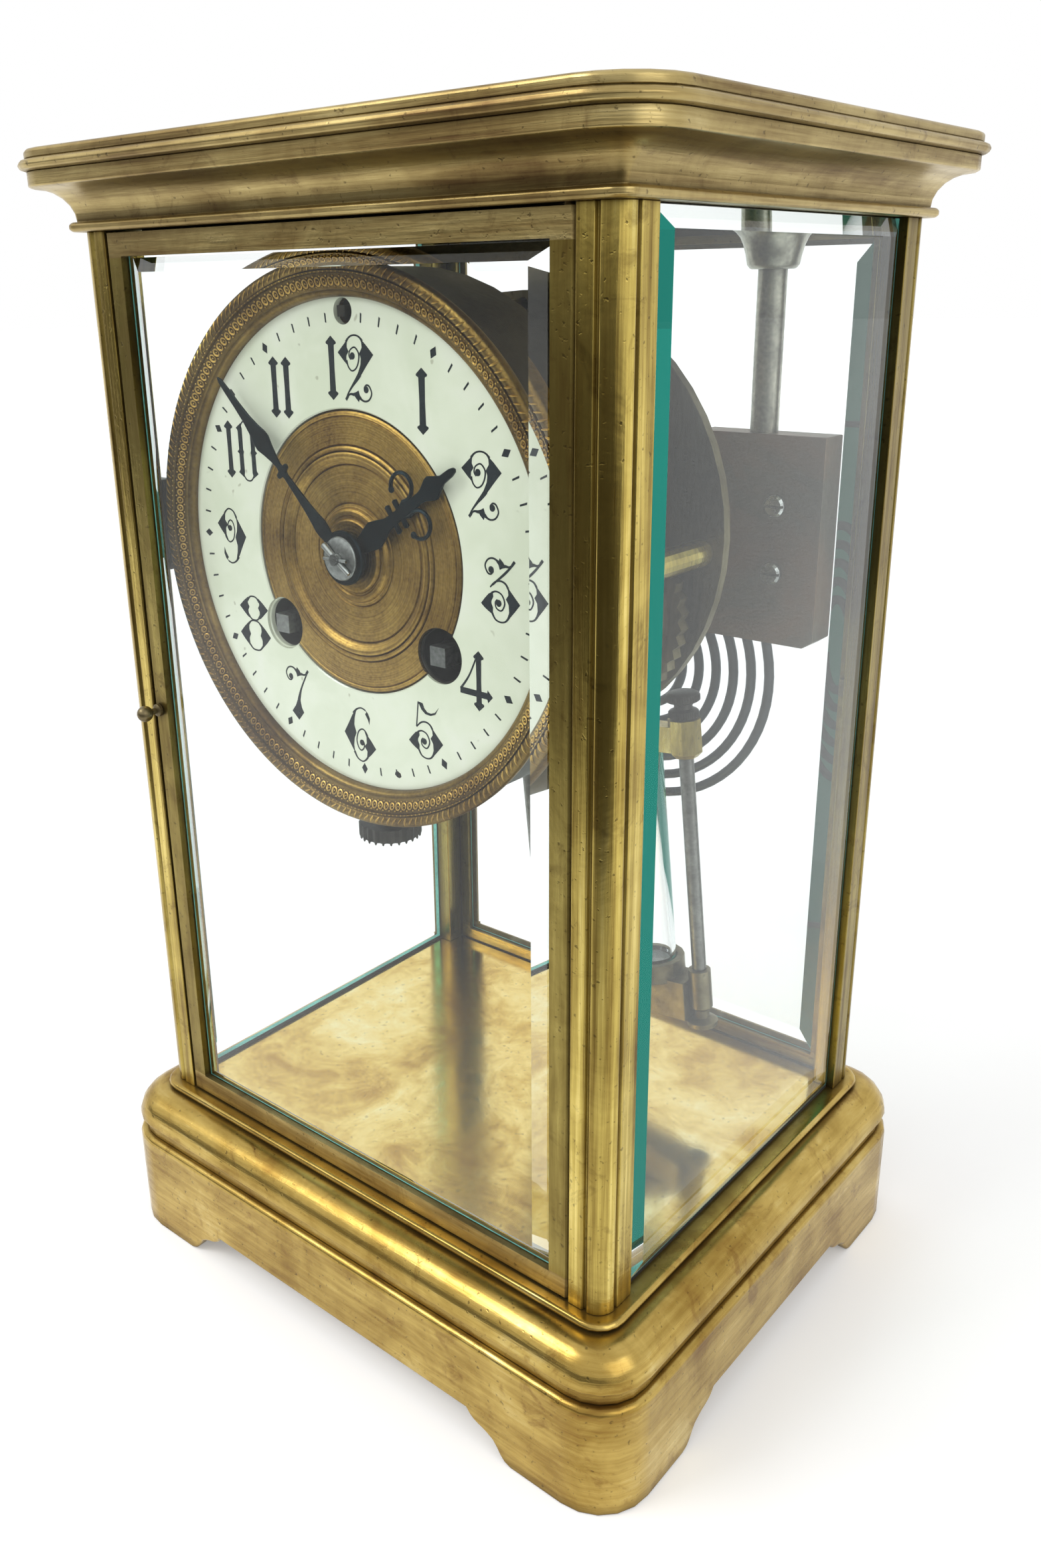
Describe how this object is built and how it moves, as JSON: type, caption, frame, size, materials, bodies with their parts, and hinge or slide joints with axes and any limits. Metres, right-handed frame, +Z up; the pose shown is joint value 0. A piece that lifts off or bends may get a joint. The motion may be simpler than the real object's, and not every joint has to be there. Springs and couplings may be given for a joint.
{
  "type": "four glass mantel clock",
  "caption": "Glazed brass mantel clock with framed doors, a round enamel dial with a striking movement, a coiled gong and a swinging twin jar pendulum.",
  "frame": {"origin": "middle of the footprint, on the surface that the clock stands on", "axes": "+Z up, the dial faces -Y, +X to the right as seen from the front"},
  "size_m": [0.1652, 0.1384, 0.27],
  "materials": {
    "golden_brass": "worn golden brass, softly polished",
    "aged_brass": "aged olive brown brass, satin",
    "clear_glass": "clear polished glass, bevelled",
    "dark_packing": "dark packing strip",
    "gilt_brass": "matt gilt, engine milled",
    "dark_drum": "dark tarnished brass",
    "enamel": "glossy fired enamel",
    "plate_brass": "dull movement brass",
    "iron_block": "grey painted cast block",
    "steel": "polished steel",
    "blued_steel": "dark blued steel"
  },
  "bodies": {
    "case": {"base_plinth": "golden_brass", "base_moulding": "golden_brass", "floor_plate": "golden_brass", "pillar_front_left": "aged_brass", "pillar_front_right": "aged_brass", "pillar_rear_left": "aged_brass", "pillar_rear_right": "aged_brass", "cornice_lower": "aged_brass", "cornice_bead": "aged_brass", "top_cap": "aged_brass", "side_glass_left": "clear_glass", "side_glass_right": "clear_glass", "glass_packing_left": "dark_packing", "glass_packing_right": "dark_packing", "bezel": "gilt_brass", "drum": "dark_drum", "dial_ring": "enamel", "dial_centre": "gilt_brass", "front_plate": "plate_brass", "back_plate": "plate_brass", "movement_pillar_1": "plate_brass", "movement_pillar_2": "plate_brass", "movement_pillar_3": "plate_brass", "movement_pillar_4": "plate_brass", "suspension_cock": "plate_brass", "gong_stand": "aged_brass", "gong_block": "iron_block", "gong_screw_1": "steel", "gong_screw_2": "steel", "gong_coil": "blued_steel", "bracket_left": "dark_drum", "bracket_right": "dark_drum"},
    "front_door": {"front_door_frame": "aged_brass", "front_door_glass": "clear_glass"},
    "rear_door": {"rear_door_frame": "aged_brass", "rear_door_glass": "clear_glass"},
    "front_catch": {"front_door_catch": "aged_brass"},
    "rear_catch": {"rear_door_catch": "aged_brass"},
    "minute_body": {"centre_arbor": "steel", "minute_hand": "blued_steel", "hand_collet": "steel"},
    "hour_body": {"hour_pipe": "plate_brass", "hour_hand": "blued_steel"},
    "going_barrel_body": {"going_barrel": "plate_brass"},
    "strike_barrel_body": {"strike_barrel": "plate_brass"},
    "going_arbor_body": {"going_arbor": "steel"},
    "strike_arbor_body": {"strike_arbor": "steel"},
    "escape_body": {"escape_wheel": "plate_brass"},
    "regulator_body": {"regulator_arbor": "steel"},
    "pendulum_body": {"pendulum_top_bar": "aged_brass", "pendulum_bottom_bar": "aged_brass", "pendulum_rod_left": "steel", "pendulum_rod_right": "steel", "pendulum_jar_left": "clear_glass", "pendulum_jar_right": "clear_glass", "pendulum_nut_left": "plate_brass", "pendulum_nut_right": "plate_brass"},
    "crutch_body": {"crutch": "steel"},
    "hammer_body": {"hammer": "steel"},
    "thumbscrew_body": {"thumbscrew": "plate_brass"}
  },
  "joints": [
    {"name": "front_door_hinge", "type": "hinge", "parent": "case", "child": "front_door", "pos_m": [0.0598, -0.05585, 0.1478], "axis": [0, 0, 1], "range_deg": [0, 100]},
    {"name": "rear_door_hinge", "type": "hinge", "parent": "case", "child": "rear_door", "pos_m": [-0.0598, 0.05585, 0.1478], "axis": [0, 0, 1], "range_deg": [0, 100]},
    {"name": "front_catch_turn", "type": "hinge", "parent": "front_door", "child": "front_catch", "pos_m": [-0.05965, -0.058, 0.1477], "axis": [0, -1, 0], "range_deg": [0, 90]},
    {"name": "rear_catch_turn", "type": "hinge", "parent": "rear_door", "child": "rear_catch", "pos_m": [0.05965, 0.058, 0.1477], "axis": [0, 1, 0], "range_deg": [0, 90]},
    {"name": "minute_hand_turn", "type": "hinge", "parent": "case", "child": "minute_body", "pos_m": [0, 0, 0.1902], "axis": [0, 1, 0], "continuous": true},
    {"name": "hour_hand_turn", "type": "hinge", "parent": "case", "child": "hour_body", "pos_m": [0, 0, 0.1902], "axis": [0, 1, 0], "continuous": true},
    {"name": "going_barrel_turn", "type": "hinge", "parent": "case", "child": "going_barrel_body", "pos_m": [0.02278, 0, 0.1727], "axis": [0, 1, 0], "continuous": true},
    {"name": "strike_barrel_turn", "type": "hinge", "parent": "case", "child": "strike_barrel_body", "pos_m": [-0.02278, 0, 0.1727], "axis": [0, 1, 0], "continuous": true},
    {"name": "going_winding", "type": "hinge", "parent": "case", "child": "going_arbor_body", "pos_m": [0.02278, 0, 0.1727], "axis": [0, 1, 0], "continuous": true},
    {"name": "strike_winding", "type": "hinge", "parent": "case", "child": "strike_arbor_body", "pos_m": [-0.02278, 0, 0.1727], "axis": [0, 1, 0], "continuous": true},
    {"name": "escape_wheel_turn", "type": "hinge", "parent": "case", "child": "escape_body", "pos_m": [0, 0, 0.2102], "axis": [0, 1, 0], "continuous": true},
    {"name": "regulator_turn", "type": "hinge", "parent": "case", "child": "regulator_body", "pos_m": [0, 0, 0.2376], "axis": [0, 1, 0], "continuous": true},
    {"name": "pendulum_swing", "type": "hinge", "parent": "case", "child": "pendulum_body", "pos_m": [0, 0.0246, 0.228], "axis": [0, 1, 0], "range_deg": [0, 12.4]},
    {"name": "crutch_swing", "type": "hinge", "parent": "case", "child": "crutch_body", "pos_m": [0, 0, 0.228], "axis": [0, 1, 0], "range_deg": [0, 12.4]},
    {"name": "hammer_lift", "type": "hinge", "parent": "case", "child": "hammer_body", "pos_m": [-0.0355, 0, 0.2042], "axis": [0, 1, 0], "range_deg": [-3, 15]},
    {"name": "thumbscrew_turn", "type": "hinge", "parent": "case", "child": "thumbscrew_body", "pos_m": [0, -0.04, 0.13], "axis": [0, 0, 1], "range_deg": [0, 360]}
  ],
  "couplings": [
    {"joint": "hour_hand_turn", "follows": "minute_hand_turn", "ratio": 0.083333},
    {"joint": "going_barrel_turn", "follows": "minute_hand_turn", "ratio": 0.083333},
    {"joint": "crutch_swing", "follows": "pendulum_swing", "ratio": 1}
  ]
}
